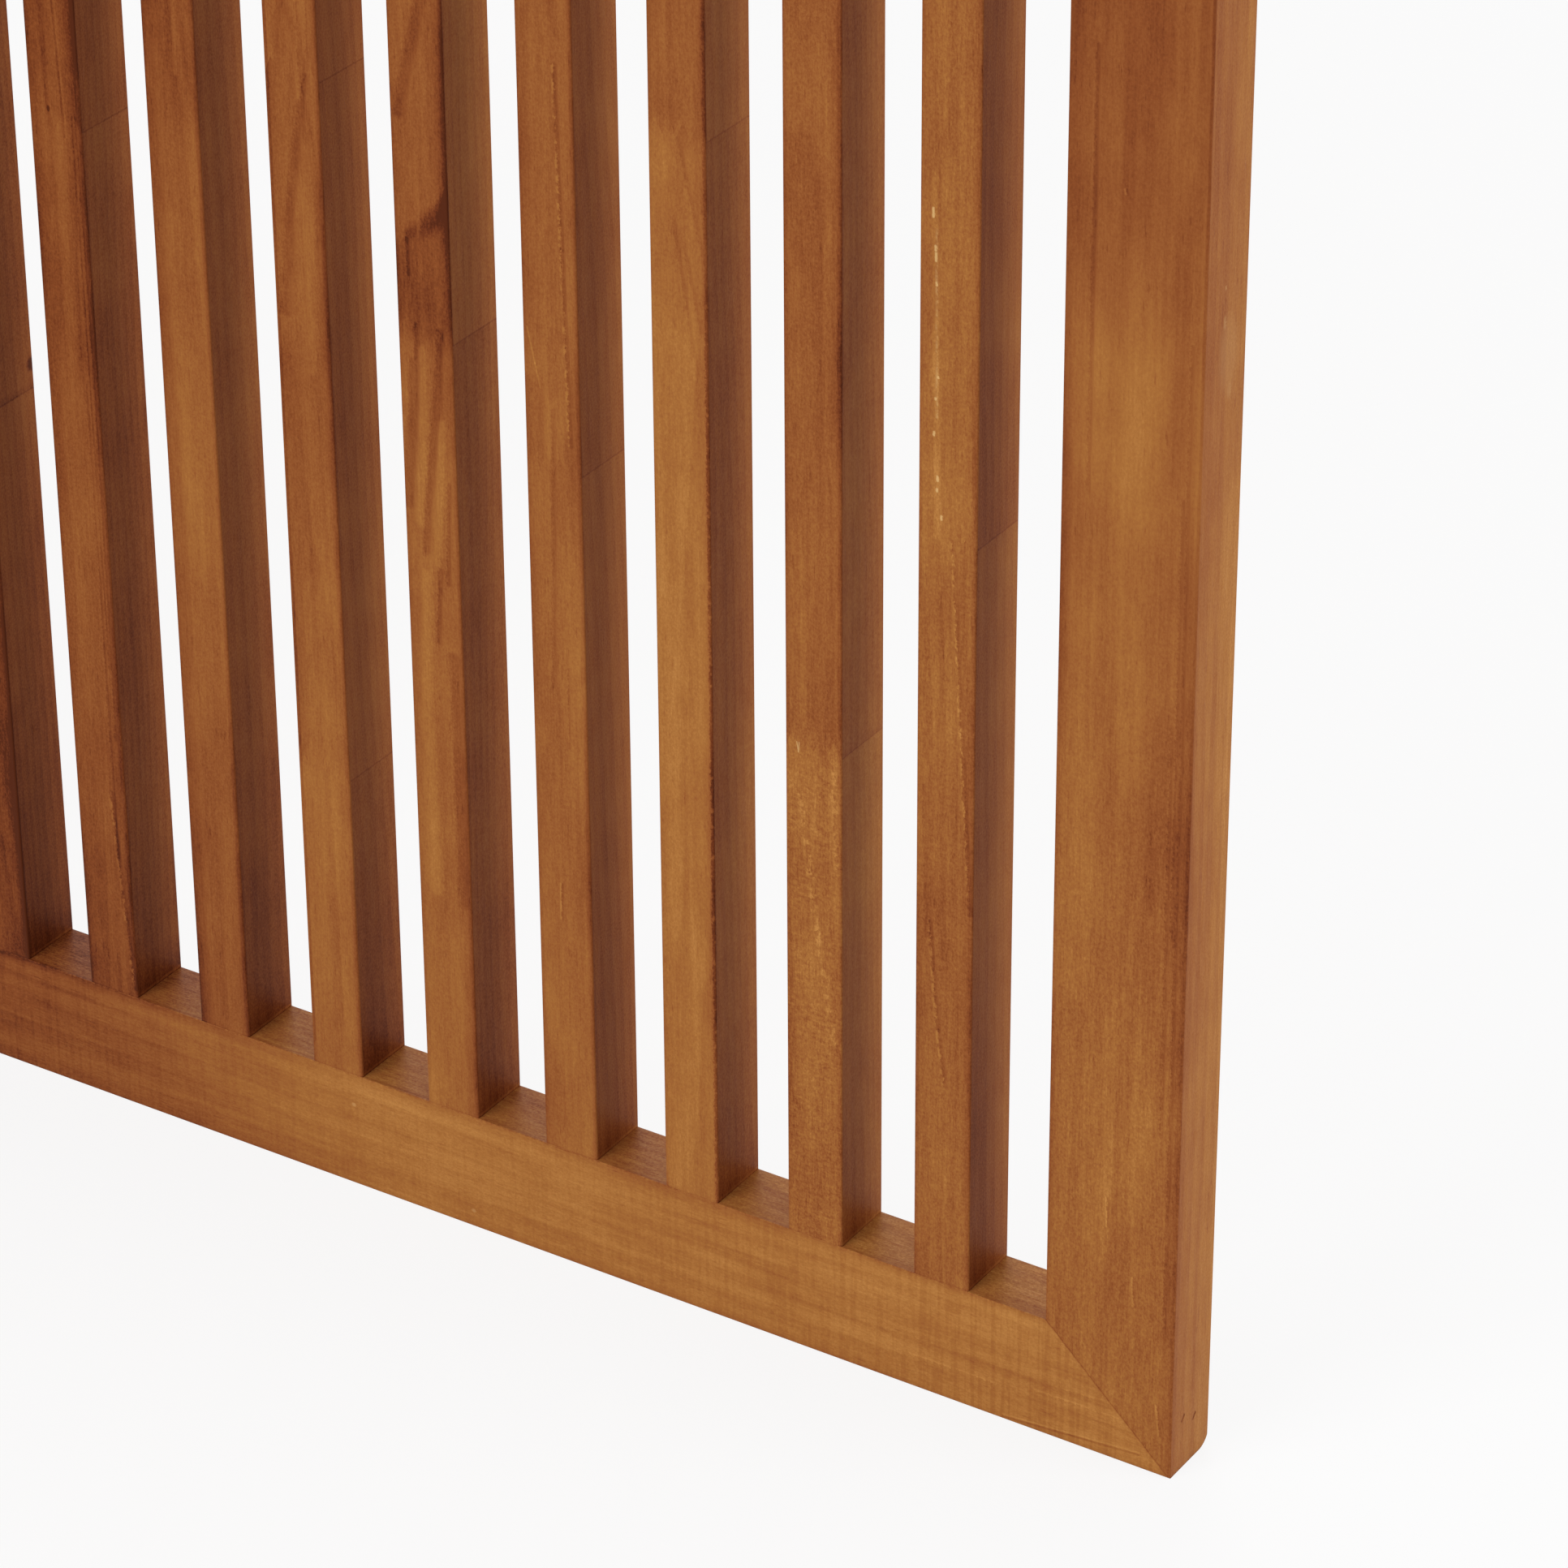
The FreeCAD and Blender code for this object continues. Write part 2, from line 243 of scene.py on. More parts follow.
# A kind of grain: how many of its marks fit in a millimetre across the board, the share of that along it,
# how fine their detail is, and how far they turn the stain. WANDER shifts the rings instead, and its
# weight is in millimetres.
Grain = namedtuple("Grain", "scale squeeze detail weight")
DRIFT = Grain(0.018, 0.4, 1.0, 0.3)
CLOUD = Grain(0.08, 0.5, 2.0, 0.34)
STREAK = Grain(0.5, 0.025, 2.0, 0.27)
FIBRE = Grain(1.7, 0.08, 2.0, 0.23)
TOOTH = Grain(2.2, 0.7, 2.0, 0.42)
WANDER = Grain(0.05, 0.12, 1.0, 9.0)
PORE = Grain(1.4, 0.12, 1.0, 0.12)
SILK = Grain(0.3, 4.0, 3.0, 1.1)
POOL = Grain(0.09, 0.1, 1.0, 0.16)

# Stain colours, from where hardly any has soaked in to where it has pooled.
PINE_STOPS = (
    (0.0, swatch(197, 139, 74)),
    (0.3, swatch(171, 112, 55)),
    (0.5, swatch(156, 94, 47)),
    (0.7, swatch(139, 76, 37)),
    (0.88, swatch(115, 56, 27)),
    (1.0, swatch(88, 40, 18)),
)
BARE_WOOD = swatch(234, 196, 132)

# Each board, and each length glued up in it, takes its grain from a place of its own in the noise.
SEEDS = (1, 90)
SEED_STEP = 61.7
BLOCK_STEP = 83.1
GRAIN_ROUGHNESS = 0.6

# The depth in millimetres over which the front's own stain gives way to that of the edges.
FRONT_TO_EDGE = (0.4, 1.0)

# Finger joints and their glue lines in millimetres, how far the glue and each length's own shade turn the
# stain, and how much of that the front has lost by sanding.
FINGER_PITCH = 3.8
FINGER_LENGTH = 9.0
GLUE_LINE = (0.05, 0.4)
GLUE_SHADE = 0.16
LENGTH_SHADE = 0.2
SANDED_FRONT = 0.85

# How far the pith lies to a side of a board, and how far it strays across and behind from one glued length
# to the next, in millimetres. Then how far rings and arches of late wood turn the stain.
PITH_ASIDE = 20
PITH_STRAYS = (20, 14)
LATE_WOOD = 0.07
LATE_ARCH = 0.17
PORE_EDGE = (0.66, 0.74)

# How far in from an arris some of the wiped stain stays, evenly and in pools, in millimetres.
ARRIS_REACH = 1.6
ARRIS_STAIN = 0.1
POOL_REACH = 4.5

# What the plane leaves: how far each mark turns the stain, and how fine and how thick the marks lie.
FUZZ_STAIN = 0.45
SILK_ROUGHNESS = 0.75
SILK_PATCH = 0.11
NICK_EDGE = (0.62, 0.7)
TORN_PALE = -0.24
TORN_DARK = 0.14
FLECK_PALE = -0.2
FLECK_DARK = 0.12

# The satin lacquer, and the grain that is felt through it. Its relief is in millimetres.
LACQUER_ROUGHNESS = 0.48
LACQUER_SPECULAR = 0.06
GRAIN_BUMP = 0.35
GRAIN_RELIEF = 0.12


class Pine:
    """One board's stained pine while it is being finished: its grain, how heavy the stain lies, its marks."""

    def __init__(self, name, board, seed, stain):
        self.material = bpy.data.materials.new(name)
        self.board = board
        self.across, self.depth, self.along = board_fields(emptied(self.material), board)
        self.front = 1 - (self.depth + board.half_depth).rises(*FRONT_TO_EDGE)
        self.seed = seed
        self.shift = seed * SEED_STEP
        self.stain = stain
        self.luck = None
        self.bare = None

    def heavier(self, mask, weight):
        """More stain where the mask is 1, or less where the weight is below 0."""
        self.stain = self.stain + mask * weight

    def in_front(self, mask, weight):
        self.heavier(mask * self.front, weight)

    def line(self, start, end, width, weight):
        self.in_front(stroke(self.across, self.along, start, end, width), weight)

    def patch(self, place, wide, tall, weight):
        self.in_front(spot(self.across, self.along, place, wide, tall), weight)

    def glue_up(self, joint, length):
        """Shorter lengths finger-jointed end to end, each with its own grain and shade."""
        fingers = abs((self.across / FINGER_PITCH).fraction() - 0.5)
        run = (self.along - joint + (fingers - 0.25) * FINGER_LENGTH) / length
        block = run.maths("FLOOR", run)
        draw = {"W": block + self.seed}
        chance = block.node("TexWhiteNoise", {"noise_dimensions": "1D"}, draw, out="Color")
        self.luck = chance.node("SeparateXYZ", {}, {0: chance}, out=(0, 1, 2))
        self.shift = block * BLOCK_STEP + self.shift
        glue = 1 - ((0.5 - abs(run - block - 0.5)) * length).rises(*GLUE_LINE)
        shade = (self.luck[2] - 0.5) * LENGTH_SHADE + glue * GLUE_SHADE
        self.heavier(shade, 1 - self.front * SANDED_FRONT)

    def drawn(self, place, grain):
        """Noise over a place, drawn out along the board as this kind of grain is."""
        return place.stretched(1.0, 1.0, grain.squeeze).noise(grain.scale, grain.detail, GRAIN_ROUGHNESS)

    def cut(self, grain):
        return self.drawn(self.wood, grain)

    def grow(self, chance, behind, slope, ring):
        """Yearly rings about a pith somewhere behind the board, and the grain that goes with them."""
        pith = (chance.uniform(-PITH_ASIDE, PITH_ASIDE), chance.uniform(*behind))
        lean = chance.uniform(-slope, slope)
        width = chance.uniform(*ring)
        whole = position(self.across + self.seed * SEED_STEP, self.depth, self.along)
        self.wood = position(self.across + self.shift, self.depth, self.along)
        self.fibre = self.cut(FIBRE)
        self.tooth = self.cut(TOOTH)
        self.streak = self.cut(STREAK)
        self.wander = (self.cut(WANDER) - 0.5) * WANDER.weight
        self.pores = self.cut(PORE).rises(*PORE_EDGE)
        x = self.across - pith[0]
        y = self.depth + pith[1] + self.along * lean
        if self.luck:
            x = x + (self.luck[0] - 0.5) * PITH_STRAYS[0]
            y = y + self.luck[1] * PITH_STRAYS[1]
        self.rings(((x * x + y * y) ** 0.5 + self.wander) / width, LATE_WOOD)
        self.stain = (
            self.stain
            + (self.drawn(whole, DRIFT) - 0.5) * DRIFT.weight
            + (self.drawn(whole, CLOUD) - 0.5) * CLOUD.weight
            + (self.streak - 0.5) * STREAK.weight
            + (self.fibre - 0.5) * FIBRE.weight
            + (self.tooth - 0.5) * TOOTH.weight
            + self.pores * PORE.weight
        )

    def rings(self, years, weight):
        """Late wood, which takes more stain, growing in through each year and ending sharply."""
        year = years.fraction()
        self.heavier(year.rises(0.2, 0.85) * (1 - year.rises(0.88, 1.0)), weight)

    def arches(self, peak, steep, step, mask):
        """Nested arches of late wood, where the saw has run just off a ring."""
        x = self.across - peak[0] + self.wander * 0.4
        years = (peak[1] - self.along - x * x * steep) / step
        self.rings(years, mask * years.rises(0.0, 0.5) * LATE_ARCH)

    def wipe(self):
        """Stain left along the arrises, where the cloth misses it, and in pools beside them in front."""
        side = self.board.half_across - abs(self.across)
        face = self.board.half_depth - abs(self.depth)
        edge = side.larger(face) + (self.streak - 0.5) * 1.5 + (self.tooth - 0.5) * 1.0
        self.heavier(1 - edge.rises(0.0, ARRIS_REACH), ARRIS_STAIN)
        self.in_front((1 - edge.rises(0.0, POOL_REACH)) * self.cut(POOL).rises(0.4, 0.7), POOL.weight)

    def fuzz(self, mask):
        """Rougher tooth, where the grain stands up and drinks the stain unevenly."""
        self.heavier(mask * (self.tooth - 0.5 + (self.fibre - 0.5) * 0.6), FUZZ_STAIN)

    def silk(self, mask):
        """Fine cross ripples in patches, where the plane has lifted the grain."""
        ripple = self.wood.stretched(1.0, 1.0, SILK.squeeze).noise(SILK.scale, SILK.detail, SILK_ROUGHNESS)
        patch = self.wood.noise(SILK_PATCH, 2.0).rises(0.35, 0.65)
        self.heavier(mask * (patch * 0.8 + 0.2) * (ripple - 0.5), SILK.weight)

    def nicked(self, start, end, width, thick):
        """1 on a ragged row of nicks along the grain in front, more of them the thicker it is set."""
        ragged = self.across + (self.tooth - 0.5) * 1.6
        nicks = self.wood.stretched(0.6, 1.0, 0.45).noise(1.3, 2.0)
        nicks = nicks.rises(NICK_EDGE[0] - thick, NICK_EDGE[1] - thick)
        return stroke(ragged, self.along, start, end, width) * nicks * self.front

    def torn(self, start, end):
        """A ragged pale line along the grain with a darker side."""
        self.in_front(stroke(self.across + self.tooth - 1.2, self.along, start, end, 0.9), TORN_DARK)
        self.heavier(self.nicked(start, end, 0.6, 0.14), TORN_PALE)

    def fleck(self, start, end):
        """A short pale tear with a dark side."""
        ragged = self.across + (self.tooth - 0.5) * 0.8
        self.in_front(stroke(ragged, self.along, start, end, 0.45), FLECK_PALE)
        self.in_front(stroke(ragged - 0.6, self.along, start, end, 0.6), FLECK_DARK)

    def scrape(self, mask):
        """Bare wood where a chip or a scratch has taken the stain off."""
        self.bare = mask if self.bare is None else self.bare.larger(mask)

    def finish(self):
        """The stain's colour under the lacquer, which lies over the grain and sinks into the pores."""
        colour = self.stain.node("ValToRGB", {"stops": PINE_STOPS}, {0: self.stain})
        if self.bare is not None:
            colour = self.bare.blend(colour, BARE_WOOD)
        height = self.fibre * 0.4 + self.tooth * 0.6 - self.pores * 0.4
        relief = {"Strength": GRAIN_BUMP, "Distance": GRAIN_RELIEF * MM, "Height": height}
        lacquer = colour.node(
            "BsdfPrincipled",
            {},
            {
                "Base Color": colour,
                "Roughness": LACQUER_ROUGHNESS + (self.fibre - 0.5) * 0.25 + (self.tooth - 0.5) * 0.2,
                "Normal": height.node("Bump", {}, relief),
                "Specular IOR Level": LACQUER_SPECULAR,
            },
        )
        lacquer.covers()
        return self.material


def dress(node, material):
    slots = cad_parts[node].data.materials
    slots.clear()
    slots.append(material)


def mark_slat_10(pine):
    """Chips down to bare wood along a beaded line, and below them torn grain among cross ripples."""
    ragged = pine.across + (pine.tooth - 0.5) * 0.6
    chips = (
        (-4.3, 316.9, 314.9),
        (-3.6, 307.9, 306.9),
        (-3.5, 306.2, 304.4),
        (-3.3, 299.1, 298.5),
        (-2.8, 276.1, 275.9),
        (-3.3, 270.6, 270.4),
        (-3.7, 262.1, 261.4),
        (-2.7, 251.2, 250.2),
        (-2.8, 248.0, 247.5),
        (-1.6, 241.4, 240.7),
    )
    for place, high, low in chips:
        pine.scrape(stroke(ragged, pine.along, (place, high), (place, low), 0.5) * pine.front * 0.6)
    beads = pine.wood.noise(0.8, 1.0).rises(0.4, 0.65) * 0.2 + 0.04
    pine.scrape(stroke(ragged, pine.along, (-3.4, 312), (-3.0, 266), 0.5) * beads * pine.front)
    pine.line((-3.9, 325), (-2.6, 236), 1.4, -0.12)
    pine.torn((1.0, 236), (6.6, 139))
    pine.torn((-4.4, 134), (-1.8, 105))
    pine.torn((-1.8, 105), (0.2, 90))
    pine.in_front(stroke(ragged, pine.along, (-5.6, 170), (-4.9, 130), 0.8), 0.12)
    pine.silk((1 - pine.along.rises(225, 245)) * pine.front * 0.3)
    pine.fuzz(pine.front * 0.4)
    pine.patch((1.0, 128), 12, 50, 0.08)
    pine.patch((0.0, 222), 14, 46, -0.1)
    pine.in_front(pine.along.rises(270, 310), 0.06)
    inner_corner = (1 - pine.front) * (1 - pine.depth.rises(-6, 4))
    pine.heavier(inner_corner * (1 - pine.along.rises(120, 220)), 0.08)


def mark_slat_9(pine):
    """Lifted grain on the lower length, with nicked pale bands, and one small chip."""
    pine.heavier(pine.along.rises(168, 176) * (1 - pine.front), -0.1)
    pine.silk((1 - pine.along.rises(160, 172)) * pine.front * 0.7)
    pine.fuzz(pine.front * (0.7 - pine.along.rises(165, 195) * 0.5))
    bands = (
        ((-3.8, 158), (-1.2, 137), 1.4),
        ((-1.2, 137), (1.0, 121), 1.6),
        ((1.0, 121), (5.2, 92), 1.6),
        ((5.0, 171), (6.4, 140), 1.2),
    )
    for start, end, width in bands:
        pine.heavier(pine.nicked(start, end, width, 0.12), -0.19)
    for side in (-0.5, 0.4):
        chip = stroke(pine.across, pine.along, (side * 0.7 - 4.2, 171.4), (-4.1, 168.8), 0.25)
        pine.scrape(chip * pine.front * 0.45)


def mark_slat_8(pine):
    """Grain that sweeps out over the right arris."""
    for start, end in (((2.3, 292), (6.6, 271)), ((-0.5, 298), (5.4, 260)), ((1.0, 318), (7.4, 290))):
        pine.in_front(stroke(pine.across + pine.tooth, pine.along, start, end, 0.8), 0.09)
    pine.patch((0.0, 215), 16, 80, -0.09)
    pine.in_front(pine.along.rises(265, 310), 0.1)
    arris = (pine.across - pine.board.half_across + (pine.tooth - 0.5) * 1.5).rises(-0.9, -0.5)
    beads = pine.wood.stretched(1.0, 1.0, 0.7).noise(0.9, 2.0).rises(0.56, 0.68) * 0.24
    pine.heavier(arris * pine.front * (1 - pine.along.rises(255, 290) * 0.6), 0.24 - beads)


def mark_slat_7(pine):
    """A torn line, a curved scratch over a redder patch, and dark lines lower down."""
    pine.torn((2.4, 328), (3.4, 282))
    pine.torn((3.4, 282), (4.6, 232))
    patch = (1 - (pine.across + pine.tooth * 2).rises(-2.6, 0.4)) * (1 - pine.along.rises(245, 249))
    pine.in_front(patch * pine.along.rises(195, 235), 0.1)
    for start, end, width in (((0.4, 240), (-1.4, 166), 1.0), ((3.0, 172), (2.7, 150), 0.5)):
        pine.in_front(stroke(pine.across + (pine.tooth - 0.5), pine.along, start, end, width), 0.12)
    pine.fleck((-1.1, 111), (-1.3, 101))
    pine.line((-6.5, 260), (-4.5, 251), 0.35, -0.2)
    pine.line((-4.5, 251), (-3.1, 245), 0.35, -0.14)


def mark_slat_6(pine):
    """A dark red crescent where a branch began, reddish wood under it, and tongues of late wood below."""
    across = pine.across + (pine.tooth - 0.5) * 1.0
    along = pine.along
    under = across * 0.95 + across * across * 0.04 + 280.1 - along
    lobes = across.rises(-5.6, -4.2) * (1 - (1 - abs(across + 0.6).rises(0.2, 0.9)) * 0.6)
    fade = 1 - under.rises(across.rises(-2, 5) * 2.5 + 1.5, across.rises(-2, 5) * 4.0 + 5.0)
    pine.in_front(under.rises(-1.4, 1.4) * fade * lobes, 0.23)
    pine.in_front(under.rises(0.0, 5.0) * along.rises(238, 256), 0.14)
    darker = (
        ((-4.2, 274), (-4.0, 265), 0.9),
        ((2.5, 338), (-5.4, 306), 2.4),
        ((-2.4, 252), (-3.0, 240), 1.4),
        ((-3.2, 242), (-4.8, 222), 2.4),
        ((-5.0, 225), (-6.6, 204), 2.4),
        ((4.4, 252), (3.6, 241), 1.6),
        ((3.6, 241), (1.9, 226), 2.0),
        ((1.9, 226), (-0.8, 205), 1.8),
        ((-0.8, 205), (-2.2, 188), 1.6),
        ((5.6, 212), (4.4, 185), 1.0),
        ((2.2, 188), (0.9, 168), 1.0),
        ((5.4, 165), (5.6, 96), 2.4),
    )
    pine.in_front(strokes(across, along, darker), 0.17)
    golden = (
        ((-0.8, 246), (-1.2, 228), 2.0),
        ((-1.2, 228), (-3.4, 200), 2.2),
        ((4.2, 228), (1.4, 190), 1.7),
        ((-1.5, 190), (-3.5, 148), 2.6),
        ((-3.5, 148), (-2.4, 98), 3.2),
    )
    pine.in_front(strokes(across, along, golden), -0.14)


def mark_slat_5(pine):
    """A pale tongue of grain with a reddish band under it, and a thin dark line beside the left arris."""
    ragged = pine.across + (pine.tooth - 0.5) * 1.4
    pine.line((-6.8, 360), (-6.8, 40), 0.5, 0.15)
    pine.arches((-1.0, 356), 2.2, 34.0, pine.along.rises(295, 315) * pine.front * 0.5)
    band = (
        ((4.2, 309), (2.9, 302), 1.2),
        ((2.9, 302), (0.7, 291), 1.7),
        ((0.7, 291), (-0.8, 281), 2.0),
        ((-0.8, 281), (-2.6, 270), 2.2),
        ((-2.6, 270), (-4.8, 246), 2.4),
    )
    pine.in_front(strokes(ragged, pine.along, band), 0.15)
    tongue = (
        ((0.5, 345), (1.4, 316), 2.0),
        ((1.4, 316), (2.0, 303), 0.9),
        ((4.6, 345), (4.4, 314), 0.9),
        ((4.2, 290), (2.6, 232), 2.4),
    )
    pine.in_front(strokes(ragged, pine.along, tongue), -0.1)


def mark_slat_4(pine):
    """Faint arches at the top, a reddish left border and a golden stretch beside it."""
    pine.in_front(1 - (pine.across + pine.tooth * 2).rises(-6.0, -1.0), 0.18)
    pine.patch((0.0, 335), 40, 60, 0.15)
    pine.line((2.4, 330), (1.7, 301), 0.9, -0.12)
    pine.arches((2.0, 345), 1.6, 34.0, pine.along.rises(270, 300) * pine.front * 0.4)
    pine.patch((0.0, 180), 14, 70, -0.06)


def mark_slat_3(pine):
    """A pin hole, two thin torn lines and fine dark lines beside the right arris."""
    fine = (
        ((6.2, 282), (6.8, 218), 0.45),
        ((6.8, 218), (6.2, 110), 0.5),
        ((5.2, 282), (5.6, 130), 0.4),
        ((4.3, 210), (4.5, 60), 0.5),
    )
    pine.in_front(strokes(pine.across + (pine.tooth - 0.5) * 0.6, pine.along, fine), 0.12)
    pine.in_front(stroke(pine.across + pine.tooth, pine.along, (1.5, 330), (2.0, 60), 4.0), -0.05)
    for lift, weight in ((0.0, -0.1), (0.7, 0.12)):
        line = stroke(pine.across + lift, pine.along, (1.7, 320), (3.2, 276), 0.45)
        pine.in_front(line, weight)
    pine.patch((-1.9, 282.5), 0.5, 1.0, 0.8)
    pine.torn((2.8, 94), (6.6, 36))
    pine.patch((0.0, 165), 16, 60, -0.12)
    pine.in_front(1 - pine.along.rises(60, 130), 0.07)
    pine.in_front(pine.along.rises(275, 310), 0.08)


def mark_slat_2(pine):
    """A paler length with a knot on its right edge."""
    right = (pine.across - pine.board.half_across).rises(-0.8, -0.2)
    pine.heavier(pine.along.rises(194, 196) * right, -0.1)
    pine.heavier(spot(pine.depth, pine.along, (8.6, 200), 2.2, 2.6) * right, 0.4)


def chance_marks(pine, chance):
    """What turns up on a slat that the picture doesn't show: arched grain, torn grain or a small knot."""
    height = chance.uniform(200, 1500)
    place = chance.uniform(-4, 4)
    kind = chance.choice(("arches", "torn", "knot", "fuzz", "plain"))
    if kind == "arches":
        pine.arches((place, height), chance.uniform(1.5, 3.0), chance.uniform(30, 50), 0.6)
    elif kind == "torn":
        pine.torn((place, height), (place + 3, height - chance.uniform(50, 90)))
    elif kind == "knot":
        eye = spot(pine.across + (pine.tooth - 0.5), pine.along, (place, height), 2.6, 3.4)
        pine.heavier(eye + spot(pine.across, pine.along, (place, height), 7, 16) * 0.5, 0.4)
    elif kind == "fuzz":
        pine.fuzz(spot(pine.across, pine.along, (0.0, height), 30, 180))


BLOCK_LENGTH = 410.0
LOWEST_JOINT = 60

# A slat as the picture shows it: the height of a glued joint and the length of its blocks, how heavy the
# stain lies in front below and above the joint, how much more of it lies on the edges, and its marks.
SeenSlat = namedtuple("SeenSlat", "joint length below above edges marks")
SEEN_SLATS = {
    10: SeenSlat(237, BLOCK_LENGTH, 0.46, 0.38, 0.02, mark_slat_10),
    9: SeenSlat(172, BLOCK_LENGTH, 0.4, 0.52, -0.04, mark_slat_9),
    8: SeenSlat(320, BLOCK_LENGTH, 0.32, 0.46, 0.0, mark_slat_8),
    7: SeenSlat(226, BLOCK_LENGTH, 0.43, 0.46, 0.0, mark_slat_7),
    6: SeenSlat(251, BLOCK_LENGTH, 0.44, 0.6, -0.03, mark_slat_6),
    5: SeenSlat(122, 187.5, 0.39, 0.5, 0.01, mark_slat_5),
    4: SeenSlat(395, BLOCK_LENGTH, 0.5, 0.5, 0.08, mark_slat_4),
    3: SeenSlat(280, BLOCK_LENGTH, 0.68, 0.72, -0.03, mark_slat_3),
    2: SeenSlat(195, BLOCK_LENGTH, 0.8, 0.76, 0.0, mark_slat_2),
}

# Heights in millimetres: the rail's top, and where a slat's stain turns to that of its length out of view.
RAIL_WIDTH = 33.5
OUT_OF_VIEW = (380, 900)

# How heavy the stain lies on slats that the picture doesn't show, higher up on the others, and on all edges
# and right arrises, and how much painted shade the edges get, and how much of it painted light takes off
# their back on slats out of view.
# FOOT_LINE is where a slat meets the rail, and FOOT_PALE a paler line just above that.
SLAT_STAIN = (0.36, 0.58)
HIGHER_STAIN = (0.38, 0.56)
EDGE_STAIN = 0.34
EDGE_EVENED = 0.7
EDGE_FRONT_SHADE = 0.14
EDGE_BACK_LIT = 0.6
RIGHT_ARRIS = 0.07
FOOT_LINE = 0.1
FOOT_PALE = -0.16


def stain_edges(pine, stain, change, back_lit_share):
    """Stain on a slat's edges and round its foot, with painted shade: darker towards the rail (where stain
    gathers too), at the front, and at the back on slats far from the right-hand lamp.
    """
    above_rail = pine.along - RAIL_WIDTH
    pine.heavier(1 - abs(above_rail).rises(0.15, 0.5), FOOT_LINE)
    right_arris = (pine.across - pine.board.half_across + (pine.streak - 0.5) * 2).rises(-1.3, -0.3)
    pine.in_front(right_arris, RIGHT_ARRIS)
    edges = 1 - pine.front
    # Darker towards the rail: partly stain gathered in the corner, partly painted shade.
    stain_and_shade_near_rail = (1 - above_rail.rises(0, 14)) * 0.1 + (1 - above_rail.rises(0, 100)) * 0.11
    pine.heavier(stain_and_shade_near_rail + EDGE_STAIN + change - stain * EDGE_EVENED, edges)
    # Painted shade: the edges darker at the front, and at the back too the farther the slat stands from the
    # lamp to the right and behind.
    pine.heavier((1 - pine.depth.rises(-10, 10) * back_lit_share) * edges, EDGE_FRONT_SHADE)
    grain = (pine.streak - 0.5) * 0.16 + (pine.fibre - 0.5) * 0.16 + pine.pores * 0.08
    pine.heavier(grain * edges, -1.0)
    pine.fuzz(edges * 0.18 + 0.12)
    pine.heavier((1 - abs(above_rail - 0.6).rises(0.2, 0.6)) * edges, FOOT_PALE)


for panel in PANELS:
    foot, across, back = panel_lines(panel)
    for number in range(1, SLATS_PER_PANEL + 1):
        node = f"{panel}_panel_slat_{number:02d}"
        chance = random.Random(f"{node} grain")
        seen = SEEN_SLATS.get(number) if panel == "right" else None
        stain = seen.below if seen else chance.uniform(*SLAT_STAIN)
        joint = seen.joint if seen else chance.uniform(LOWEST_JOINT, BLOCK_LENGTH)
        board = upright(node, across, back)
        pine = Pine(f"slat_pine_{panel}_{number:02d}", board, chance.uniform(*SEEDS), stain)
        pine.glue_up(joint, seen.length if seen else BLOCK_LENGTH)
        pine.grow(chance, behind=(18, 60), slope=0.03, ring=(2.4, 4.5))
        pine.wipe()
        if seen:
            # The last share is the painted light on the back of the edges, more on slats nearer the lamp to
            # the right and behind.
            stain_edges(pine, stain, seen.edges, (number - 1) / (SLATS_PER_PANEL - 1))
            pine.in_front((pine.along - joint).rises(-6, 6), seen.above - stain)
            seen.marks(pine)
            pine.in_front(pine.along.rises(*OUT_OF_VIEW), chance.uniform(*HIGHER_STAIN) - seen.above)
        else:
            stain_edges(pine, stain, 0.0, EDGE_BACK_LIT)
            chance_marks(pine, chance)
        dress(node, pine.finish())


# Rails: a pine bar across the bottom and the top of each panel, mitred to the stiles and mortised for
# the slats' tenons. The grain runs along the rail. Stained and lacquered with the rest of the panel.
STILE_WIDTH = 35.0
PANEL_HEIGHT = reach("right_panel_right_stile", UP)[1] / MM
MITRE_LINE = (0.1, 0.35)
MITRE_SHADE = 0.25
RAIL_STAIN = (0.3, 0.44)
SEEN_RAIL_STAIN = 0.2
RAIL_EDGE_STAIN = 0.22


def mitre_line(from_inner, from_end):
    """1 on the fine dark line of a mitre, by the distances from the frame's inner corner and from its end."""
    slant = RAIL_WIDTH / STILE_WIDTH
    off = (from_end - RAIL_WIDTH + from_inner * slant) * (1 / (1 + slant**2) ** 0.5)
    return 1 - abs(off).rises(*MITRE_LINE)


def mark_rail(pine, top):
    """Marks of the rail in the picture: heavier stain on its left, nicks, a ridge and two pale specks."""
    floor_edge = pine.board.half_across
    pine.heavier(1 - pine.along.rises(-130, 10), 0.46)
    pine.heavier(1 - pine.along.rises(-215, -130), -0.28)
    for low, start, stop in ((12.0, 188, 212), (15.2, 196, 205), (9.5, 150, 178)):
        height = floor_edge - low
        pine.heavier(pine.nicked((height, start), (height - 0.4, stop), 0.35, 0.2), -0.12)
    pine.heavier(top * (1 - abs(pine.along - 21.5).rises(25, 60)), 0.1)
    ridge = [(floor_edge - low, along) for low, along in ((0.8, 180), (3.9, 218))]
    for lift, weight in ((0.0, 0.2), (-0.6, -0.14)):
        pine.in_front(stroke(pine.across - lift, pine.along, *ridge, 0.45), weight)
    for low, along in ((24.3, -13.4), (4.9, 23.3)):
        speck = spot(pine.across, pine.along, (floor_edge - low, along), 0.7, 0.9)
        pine.scrape(speck * pine.front * 0.25)


